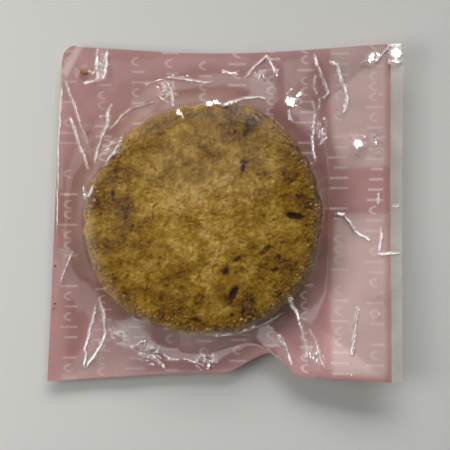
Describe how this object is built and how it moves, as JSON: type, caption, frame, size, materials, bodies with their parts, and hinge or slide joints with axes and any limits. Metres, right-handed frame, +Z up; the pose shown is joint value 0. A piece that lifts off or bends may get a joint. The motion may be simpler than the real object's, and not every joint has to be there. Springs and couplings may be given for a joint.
{
  "type": "wrapped coconut cookie",
  "caption": "Round crumbly coconut cookie sealed in a flat bag with a printed back film and a clear front film.",
  "frame": {"origin": "under the middle of the bag, on the surface it lies on", "axes": "+Z up out of the clear front, +X towards the wide heat-sealed end, +Y along that end"},
  "size_m": [0.0918, 0.087, 0.0115],
  "materials": {
    "baked_crumb": "dry baked crumb, browner towards the rim",
    "printed_film": "dusty pink ink on thin film, with rows of pale strokes",
    "clear_film": "clear creased packing film"
  },
  "bodies": {
    "root": {"cookie": "baked_crumb", "printed_back": "printed_film", "clear_front": "clear_film"}
  },
  "joints": []
}
